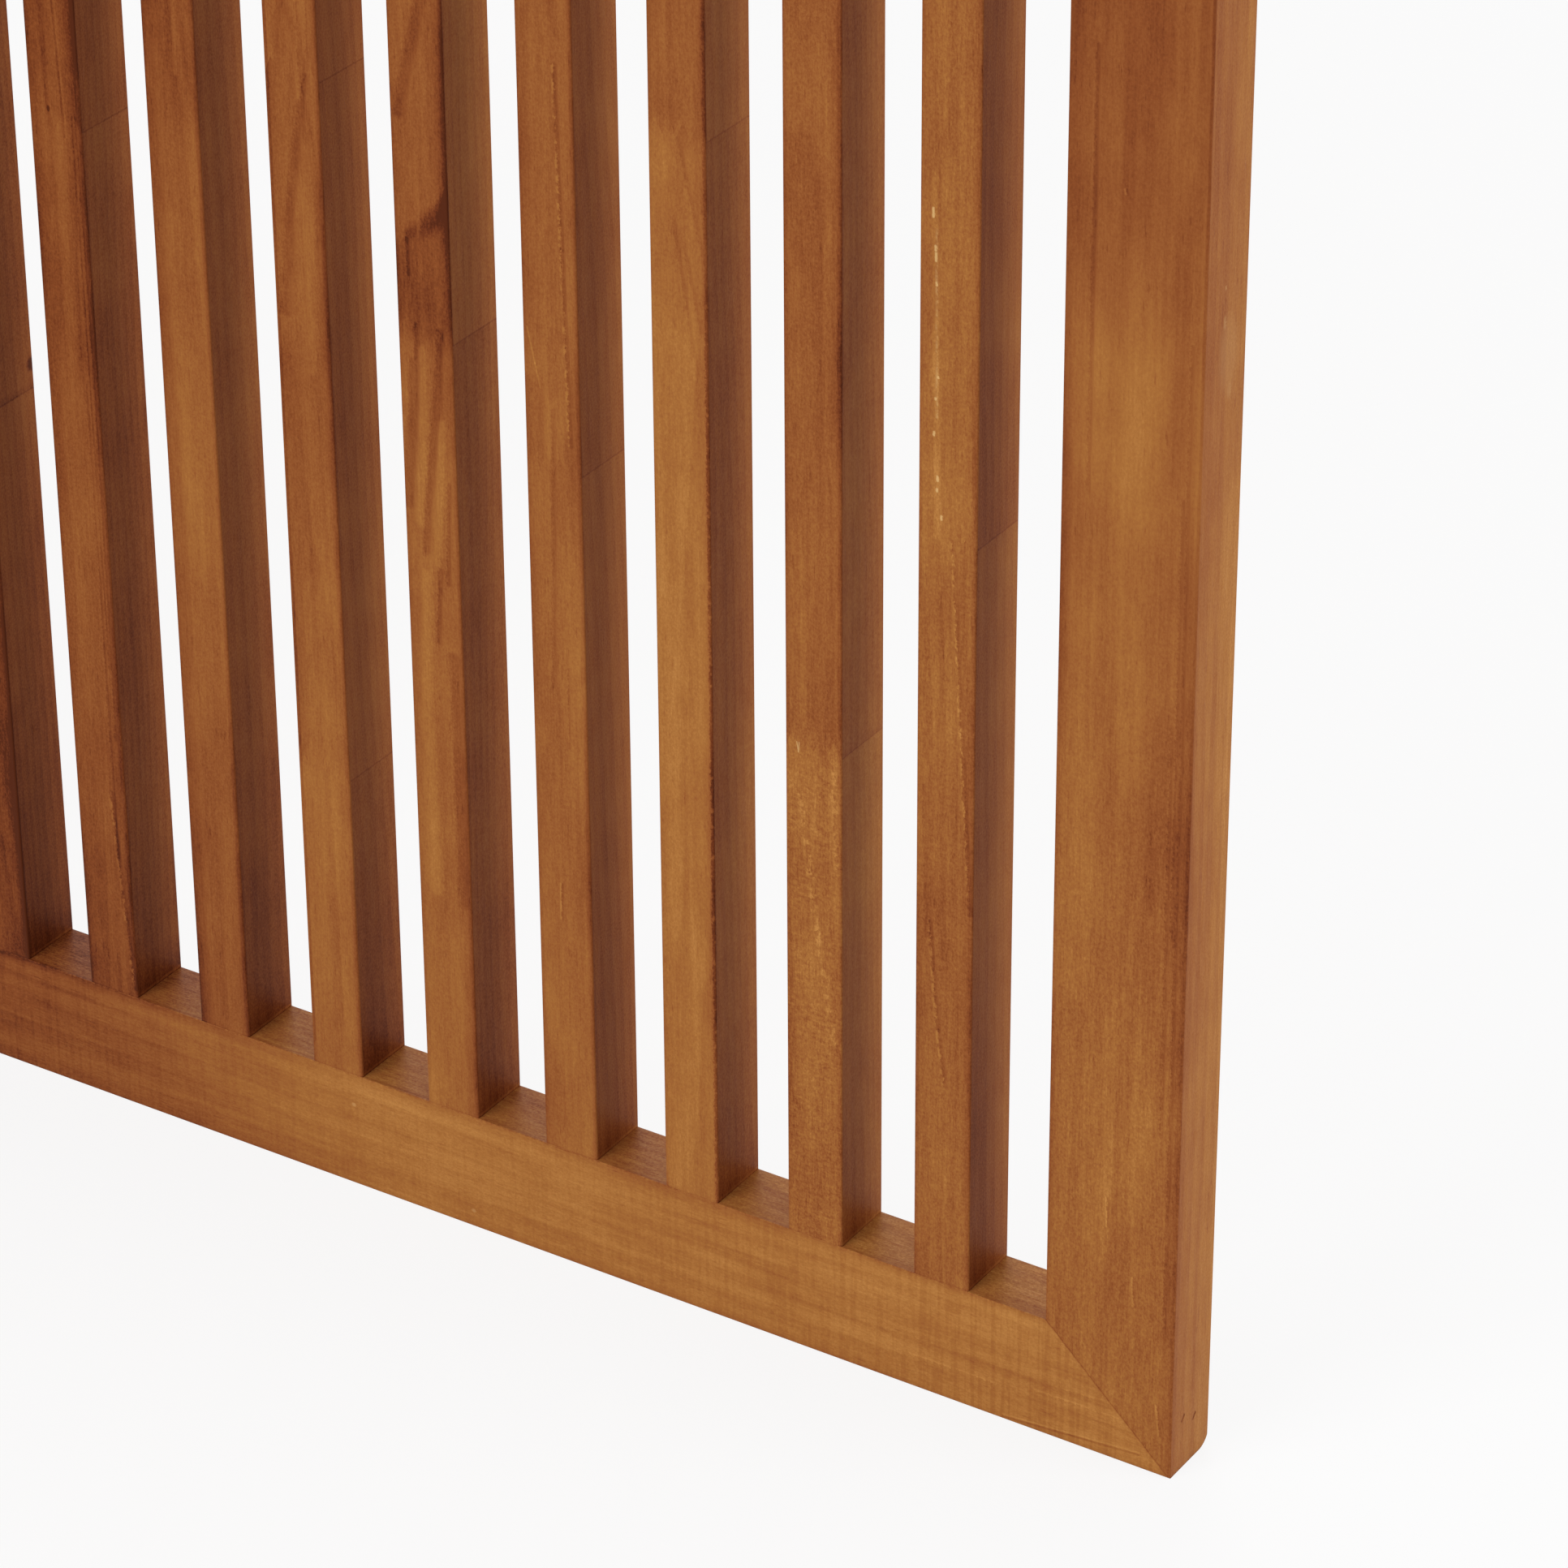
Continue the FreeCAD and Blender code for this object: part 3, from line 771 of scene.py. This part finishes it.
for panel in PANELS:
    foot, across, back = panel_lines(panel)
    for end in ("bottom", "top"):
        node = f"{panel}_panel_{end}_rail"
        chance = random.Random(f"{node} grain")
        seen = panel == "right" and end == "bottom"
        place = Vector((foot.x, foot.y, middle(node).z))
        board = Board(place, -UP, back, across, half_span(node, UP), half_span(node, back))
        stain = SEEN_RAIL_STAIN if seen else chance.uniform(*RAIL_STAIN)
        pine = Pine(f"rail_pine_{panel}_{end}", board, chance.uniform(*SEEDS), stain)
        pine.grow(chance, behind=(18, 60), slope=0.01, ring=(4.0, 6.0))
        pine.wipe()
        from_inner = abs(pine.along) - (half_span(node, across) - STILE_WIDTH)
        from_end = board.half_across - pine.across if end == "bottom" else board.half_across + pine.across
        pine.heavier(mitre_line(from_inner, from_end), MITRE_SHADE)
        pine.heavier(1 - pine.front, RAIL_EDGE_STAIN)

        # Faint marks of the saw across the front, and a furry top that is paler behind its front arris.
        saw = pine.wood.stretched(0.05, 0.05, 1.0).noise(0.9, 2.0).rises(0.42, 0.66)
        pine.heavier(saw * pine.front * (abs(pine.along).rises(40, 190) * 0.06 + 0.05), 1.0)
        top = 1 - (pine.across + board.half_across).rises(0.2, 0.8)
        pine.fuzz(top)
        pine.heavier(top * (pine.depth + board.half_depth + (pine.tooth - 0.5) * 2).rises(0.5, 1.5), -0.1)
        if seen:
            mark_rail(pine, top)
        dress(node, pine.finish())


# Stiles: the two uprights of each panel's frame, pine bars mitred at both ends and glued and bradded to
# the rails. Their long edges are eased, and the lower outer corners are worn round.
STILE_STAIN = (0.38, 0.5)
SEEN_STILE_STAIN = 0.42


def mark_stile(pine):
    """Marks of the stile in the picture: streaks, patches and flecks in front; on its outer edge pale spots,
    and painted light that pales it most towards the back.
    """
    across, along = pine.across, pine.along
    flecks = (
        ((5.7, 54), (6.2, 46)),
        ((13.2, 20), (14.1, 11.6)),
        ((-1.7, 74), (-1.5, 66)),
        ((-3.2, 333), (-3.0, 332)),
    )
    for start, end in flecks:
        pine.fleck(start, end)
    for start, end, width in (((-10.4, 365), (-10.6, 258), 0.9), ((8.7, 277), (8.9, 275), 0.5)):
        pine.in_front(stroke(across + (pine.tooth - 0.5), along, start, end, width), 0.14)
    pine.patch((12.0, 165), 13, 52, 0.08)
    for place, high, low in ((13.4, 262, 150), (14.6, 300, 40), (12.2, 205, 96)):
        line = stroke(across + (pine.tooth - 0.5) * 1.4, along, (place, high), (place + 0.4, low), 0.8)
        pine.in_front(line, 0.12)
    pine.in_front(along.rises(270, 335), 0.19)
    for place in ((-2.0, 282), (-1.0, 95)):
        pine.patch(place, 16, 40, -0.1)
    outer = (across - pine.board.half_across).rises(-0.8, -0.2)
    # Painted light: the outer edge paler, most towards the back, where the lamps to the right and behind
    # light it.
    pine.heavier(outer * (pine.depth.rises(-4, 9) * 0.8 + 0.2), -0.2)
    pine.heavier(outer * (1 - (pine.depth + (pine.streak - 0.5) * 6).rises(-8.5, -4.5)), 0.08)
    pine.heavier(outer * along.rises(220, 310), 0.13)
    side = pine.board.half_across - across
    face = pine.depth + pine.board.half_depth
    corner = 1 - side.larger(face).rises(0.3, 2.0)
    pine.heavier(corner * along.rises(170, 270), -0.17)
    # Pale spots on the outer edge, mixed towards the colour of bare wood.
    pale_spots = (
        ((-0.7, 303.0), 0.8, 2.4, 0.2),
        ((1.2, 295.0), 5.5, 12.0, 0.1),
        ((2.2, 286.0), 1.5, 3.0, 0.12),
        ((-0.8, 311.4), 0.5, 0.9, 0.2),
    )
    for place, wide, tall, share in pale_spots:
        pale_spot = spot(pine.depth + (pine.tooth - 0.5) * 2, along, place, wide, tall)
        pine.scrape(pale_spot * outer * share)


for panel in PANELS:
    foot, across, back = panel_lines(panel)
    for side in ("left", "right"):
        node = f"{panel}_panel_{side}_stile"
        chance = random.Random(f"{node} grain")
        seen = panel == "right" and side == "right"
        board = upright(node, across, back)
        stain = SEEN_STILE_STAIN if seen else chance.uniform(*STILE_STAIN)
        pine = Pine(f"stile_pine_{panel}_{side}", board, chance.uniform(*SEEDS), stain)
        pine.grow(chance, behind=(30, 80), slope=0.01, ring=(4.0, 7.0))
        pine.wipe()
        from_inner = board.half_across + pine.across if side == "right" else board.half_across - pine.across
        from_end = PANEL_HEIGHT / 2 - abs(pine.along - PANEL_HEIGHT / 2)
        pine.heavier(mitre_line(from_inner, from_end), MITRE_SHADE)
        rough = 0.6 - pine.along.rises(110, 270) * 0.75 if seen else 0.5
        pine.fuzz(pine.front * rough)
        if seen:
            mark_stile(pine)
        dress(node, pine.finish())


# Brads: cut wire nails shot through the stile's edge into the rail's end, two at each mitre, with their
# heads set just under the surface and stained over with the wood.
BRAD_BROWN = swatch(122, 74, 50)
BRAD_DARK = swatch(84, 46, 30)

metal = bpy.data.materials.new("brad_steel")
dull = emptied(metal).node("TexCoord", out="Object").noise(900.0, 2.0)
steel = dull.node(
    "BsdfPrincipled",
    {},
    {
        "Base Color": dull.blend(BRAD_DARK, BRAD_BROWN),
        "Roughness": 0.4 + dull * 0.3,
        "Metallic": 0.3,
    },
)
steel.covers()
for panel in PANELS:
    dress(f"{panel}_panel_corner_brads", metal)


# Putty: stained filler pressed over each brad's head and wiped off with a thumb. It dries a little below
# the stile's edge, hollow in the middle, and takes the stain darker than the wood round it.
PUTTY_BELOW_EDGE = 0.04
PUTTY_HOLLOW = 0.06
PUTTY_BED = 0.6
PUTTY_BROWN = swatch(146, 82, 44)
PUTTY_DARK = swatch(122, 64, 32)
PUTTY_SPECULAR = 0.1

# Corners this near to the outermost one lie on a brad's head, and this near to each other on the same head.
HEAD_FACE = 0.05
HEAD_REACH = 2.5


def centre_of(corners):
    return sum(corners, Vector()) / len(corners)


def walls(mesh, rings):
    """Four-sided faces between each closed row of corners and the next, which has as many."""
    for first, second in zip(rings, rings[1:]):
        for k, corner in enumerate(first):
            mesh.faces.new((corner, first[k - 1], second[k - 1], second[k]))


def solid_piece(mesh, name, material):
    """An object of a finished mesh, with its faces turned outward."""
    bmesh.ops.recalc_face_normals(mesh, faces=mesh.faces)
    shell = bpy.data.meshes.new(name)
    mesh.to_mesh(shell)
    mesh.free()
    shell.materials.append(material)
    piece = bpy.data.objects.new(name, shell)
    bpy.context.scene.collection.objects.link(piece)
    return piece


def brad_heads(node, outward):
    """The corners of each brad's head at one edge of a panel, in order round the head."""
    sideways = UP.cross(outward)
    corners = [v.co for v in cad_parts[node].data.vertices]
    face = max(corner.dot(outward) for corner in corners)
    heads = []
    for corner in corners:
        if face - corner.dot(outward) > HEAD_FACE * MM:
            continue
        near = [head for head in heads if (head[0] - corner).length < HEAD_REACH * MM]
        if not near:
            heads.append([corner])
        elif all((known - corner).length > HEAD_FACE * MM for known in near[0]):
            near[0].append(corner)
    for head in heads:
        centre = centre_of(head)
        head.sort(key=lambda corner: math.atan2((corner - centre).dot(sideways), (corner - centre).z))
    return heads


putty = bpy.data.materials.new("brad_putty")
grit = emptied(putty).node("TexCoord", out="Object").noise(2600.0, 2.0)
filler = grit.node(
    "BsdfPrincipled",
    {},
    {
        "Base Color": grit.rises(0.3, 0.7).blend(PUTTY_DARK, PUTTY_BROWN),
        "Roughness": 0.6 + (grit - 0.5) * 0.3,
        "Normal": grit.node("Bump", {}, {"Strength": 0.3, "Distance": 0.05 * MM, "Height": grit}),
        "Specular IOR Level": PUTTY_SPECULAR,
    },
)
filler.covers()
for panel in PANELS:
    foot, across, back = panel_lines(panel)
    mesh = bmesh.new()
    for side, outward in (("left", -across), ("right", across)):
        edge = reach(f"{panel}_panel_{side}_stile", outward)[1]
        for head in brad_heads(f"{panel}_panel_corner_brads", outward):
            centre = centre_of(head)
            lip = edge - PUTTY_BELOW_EDGE * MM - centre.dot(outward)
            rows = ((1.0, 0.0), (1.0, lip), (PUTTY_BED, lip - PUTTY_HOLLOW * MM))
            rings = [
                [mesh.verts.new(centre + (corner - centre) * share + outward * rise) for corner in head]
                for share, rise in rows
            ]
            walls(mesh, rings)
            mesh.faces.new(rings[0])
            mesh.faces.new(rings[-1])
    plugs = solid_piece(mesh, f"{panel}_panel_brad_putty", putty)
    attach(plugs, f"{panel}_panel")


# Hinges: brass-plated steel butt hinges, let flush into the edges of two neighbouring stiles. Each leaf is
# stamped and rolled into knuckles round a pin, and the plating is dulled by handling.
def plating(name, bright, dulled):
    """Plated metal, hazy from handling over fine brush marks that run up it."""
    material = bpy.data.materials.new(name)
    place = emptied(material).node("TexCoord", out="Object")
    haze = place.noise(420.0, 4.0)
    brush = place.stretched(1, 1, 0.02).noise(5200.0, 2.0)
    colour = (haze * 0.6 + brush * 0.4).rises(0.3, 0.7).blend(dulled, bright)
    lustre = colour.node(
        "BsdfPrincipled",
        {},
        {
            "Base Color": colour,
            "Roughness": 0.26 + haze * 0.2 + (brush - 0.5) * 0.15,
            "Metallic": 1.0,
        },
    )
    lustre.covers()
    return material


hinge_brass = plating("hinge_brass", swatch(196, 160, 96), swatch(172, 136, 78))
for fold in ("left", "right"):
    for piece in ("hinge_pins", "middle_leaves", "outer_leaves"):
        dress(f"{fold}_fold_{piece}", hinge_brass)


# Screws: small brass-plated wood screws, two in each hinge leaf, with flat countersunk heads let in flush.
# The cross recess is pressed into the head before plating. Sizes in millimetres.
SCREW_SIDES = 32
RIM = 0.12
RECESS_HALF_LENGTH = 1.5
RECESS_HALF_WIDTH = 0.42
RECESS_DEPTH = 1.4
RECESS_TAPER = 0.55
APART = 5.0

# The point's length in radii of the shank, and the share of the head's radius that only the point is within.
POINT_LENGTH = 2.6
POINT_SHARE = 0.25

screw_brass = plating("screw_brass", swatch(202, 168, 106), swatch(172, 138, 84))


def by_height(node):
    """The corners of each screw in a node, which stand well apart up the stile."""
    corners = sorted((v.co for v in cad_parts[node].data.vertices), key=lambda corner: corner.z)
    heaps = [[corners[0]]]
    for below, corner in zip(corners, corners[1:]):
        if corner.z - below.z > APART * MM:
            heaps.append([])
        heaps[-1].append(corner)
    return heaps


def ring(mesh, depth, outline):
    return [mesh.verts.new((-depth * MM, y * MM, z * MM)) for y, z in outline]


def drive_screw(mesh, place, head, shank, length):
    """A cross-headed countersunk screw, its head at the place's origin and its point along -X."""
    start = len(mesh.verts)
    turns = [k * 2 * math.pi / SCREW_SIDES for k in range(SCREW_SIDES)]
    profile = (
        (0.0, head - RIM),
        (RIM, head),
        (head - shank + RIM, shank),
        (length - POINT_LENGTH * shank, shank),
        (length - RIM, RIM),
    )
    rings = [ring(mesh, depth, [(r * math.cos(a), r * math.sin(a)) for a in turns]) for depth, r in profile]
    walls(mesh, rings)
    mesh.faces.new(rings[-1])
    long, wide = RECESS_HALF_LENGTH, RECESS_HALF_WIDTH
    arm = [(wide, long), (-wide, long), (-wide, wide)]
    cross = []
    for _ in range(4):
        cross += arm
        arm = [(-z, y) for y, z in arm]
    mouth = ring(mesh, 0.0, cross)
    bottom = ring(mesh, RECESS_DEPTH, [(y * RECESS_TAPER, z * RECESS_TAPER) for y, z in cross])
    walls(mesh, [mouth, bottom])
    quarter = SCREW_SIDES // 4
    rim = rings[0] + rings[0][: quarter + 1]
    for k in range(4):
        tip = quarter * ((k + 1) % 4)
        left, inner, right = mouth[3 * k + 1], mouth[3 * k + 2], mouth[(3 * k + 3) % 12]
        mesh.faces.new(rim[tip : tip + quarter + 1] + [right, inner, left])
        mesh.faces.new((rim[tip], left, mouth[3 * k]))
        mesh.faces.new((bottom[3 * k], bottom[3 * k + 1], bottom[3 * k + 2], bottom[3 * k - 1]))
    mesh.faces.new(bottom[2::3])
    mesh.verts.ensure_lookup_table()
    bmesh.ops.transform(mesh, matrix=place, verts=mesh.verts[start:])


for fold in ("left", "right"):
    for leaf in ("middle", "outer"):
        node = f"{fold}_fold_{leaf}_screws"
        panel = "middle" if leaf == "middle" else fold
        foot, across, back = panel_lines(panel)
        outward = across if (fold == "right") == (leaf == "middle") else -across
        mesh = bmesh.new()
        for heap in by_height(node):
            face = max(corner.dot(outward) for corner in heap)
            length = face - min(corner.dot(outward) for corner in heap)
            rim = [corner for corner in heap if face - corner.dot(outward) < RIM * MM]
            centre = centre_of(rim)
            radii = [(corner - centre).cross(outward).length for corner in heap]
            head = max(radii)
            shank = min(r for r in radii if r > head * POINT_SHARE)
            turned = random.Random(f"{node} {centre.z:.3f}").uniform(0, math.pi / 2)
            lean = Matrix.Rotation(turned, 4, "X")
            lines = Matrix((outward, UP.cross(outward), UP)).transposed().to_4x4()
            drive_screw(mesh, Matrix.Translation(centre) @ lines @ lean, head / MM, shank / MM, length / MM)
        screws = solid_piece(mesh, f"{fold}_fold_{leaf}_cross_screws", screw_brass)
        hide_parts(node)
        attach(screws, f"{panel}_panel")


# Floor: a plain pale studio floor. To the camera it is nearly white, keeps a soft shadow about the screen
# and fades into the white of the studio further out. Distances in metres.
FLOOR_SIZE = 12.0
FADE_FROM = 1.6
FADE_TO = 5.6
FLOOR_WHITE = (0.85, 0.85, 0.85, 1.0)
STUDIO_WHITE = (1.0, 1.0, 1.0, 1.0)
FLOOR_GLOW = 0.86


def shown_rays(blank):
    """1 for the rays that show the studio: those from the camera, off gloss or through clear things."""
    rays = ("Is Camera Ray", "Is Glossy Ray", "Is Transmission Ray")
    camera, glossy, clear = blank.node("LightPath", out=rays)
    return camera.larger(glossy.larger(clear))


sheet = bpy.data.meshes.new("studio_floor")
half = FLOOR_SIZE / 2
corners = [(-half, -half, 0.0), (half, -half, 0.0), (half, half, 0.0), (-half, half, 0.0)]
sheet.from_pydata(corners, [], [(0, 1, 2, 3)])
floor = bpy.data.objects.new("studio_floor", sheet)
bpy.context.scene.collection.objects.link(floor)
paper = bpy.data.materials.new("studio_paper")
blank = emptied(paper)
shown = shown_rays(blank)
spread = blank.node("TexCoord", out="Object")
distance = spread.node("VectorMath", {"operation": "LENGTH"}, {0: spread}, out="Value")
far_off = distance.rises(FADE_FROM, FADE_TO)
matt = blank.node("BsdfDiffuse", {}, {"Color": FLOOR_WHITE})
glow = blank.node("Emission", {}, {"Color": STUDIO_WHITE, "Strength": 1.0})
glowing = shown * (far_off * (1 - FLOOR_GLOW) + FLOOR_GLOW)
mixed = blank.node("MixShader", {}, {0: glowing, 1: matt, 2: glow})
mixed.covers()
sheet.materials.append(paper)


# Light: an even white studio, with three large soft boxes on stands. One is in front of the right panel and
# to its left, a narrow one stands to its right, and one lights the panels from behind.
AMBIENT = 0.56

world = bpy.data.worlds.new("white_studio")
bpy.context.scene.world = world
sky = emptied(world)
strength = AMBIENT + shown_rays(sky) * (1 - AMBIENT)
white = sky.node("Background", {}, {"Color": STUDIO_WHITE, "Strength": strength})
white.covers("OutputWorld")

foot, across, back = panel_lines("right")


def soft_box(name, place, target, size, power):
    """A lamp at a place across, behind and above the right panel's foot, in metres, aimed at another."""
    lamp = bpy.data.lights.new(name, "AREA")
    lamp.shape = "RECTANGLE"
    lamp.size, lamp.size_y = size
    lamp.energy = power
    lit = bpy.data.objects.new(name, lamp)
    eye, aim = (foot + across * u + back * v + UP * z for u, v, z in (place, target))
    lit.location = eye
    lit.rotation_euler = (aim - eye).to_track_quat("-Z", "Y").to_euler()
    bpy.context.scene.collection.objects.link(lit)


soft_box("front_soft_box", (-0.9, -3.0, 2.1), target=(0.0, 0.0, 0.6), size=(2.0, 2.0), power=59.0)
soft_box("side_soft_box", (2.3, 0.65, 1.0), target=(0.2, 0.0, 0.5), size=(1.1, 1.8), power=20.0)
soft_box("back_soft_box", (-1.8, 3.2, 2.0), target=(-0.4, 0.0, 0.8), size=(2.0, 2.0), power=44.0)


# Camera: a long lens that looks down on the lower outer corner of the right panel, from in front of it and
# to its right. It was placed by the straight edges of the frame and the slats. Distances in millimetres.
SENSOR = 36.0
LENS = 144.484
FROM_OUTER_EDGE = 585.6
FROM_FRONT = 1078.0
ABOVE_FLOOR = 896.1
SIGHT = (-0.4694, 0.7288, -0.4984)
ROLL_DROP = -0.0066

outer = reach("right_panel_right_stile", across)[1]
face = reach("right_panel_right_stile", back)[0]
corner = across * outer + back * face
eye = corner + (across * FROM_OUTER_EDGE - back * FROM_FRONT + UP * ABOVE_FLOOR) * MM
sight = (across * SIGHT[0] + back * SIGHT[1] + UP * SIGHT[2]).normalized()
level = sight.cross(UP).normalized() + UP * ROLL_DROP
right = (level - sight * level.dot(sight)).normalized()

view = bpy.data.cameras.new("photo_view")
view.sensor_fit = "HORIZONTAL"
view.sensor_width = SENSOR
view.lens = LENS
camera = bpy.data.objects.new("photo_view", view)
turn = Matrix((right, right.cross(sight), -sight)).transposed().to_4x4()
camera.matrix_world = Matrix.Translation(eye) @ turn
bpy.context.scene.collection.objects.link(camera)
bpy.context.scene.camera = camera
bpy.context.scene.view_settings.view_transform = "Standard"
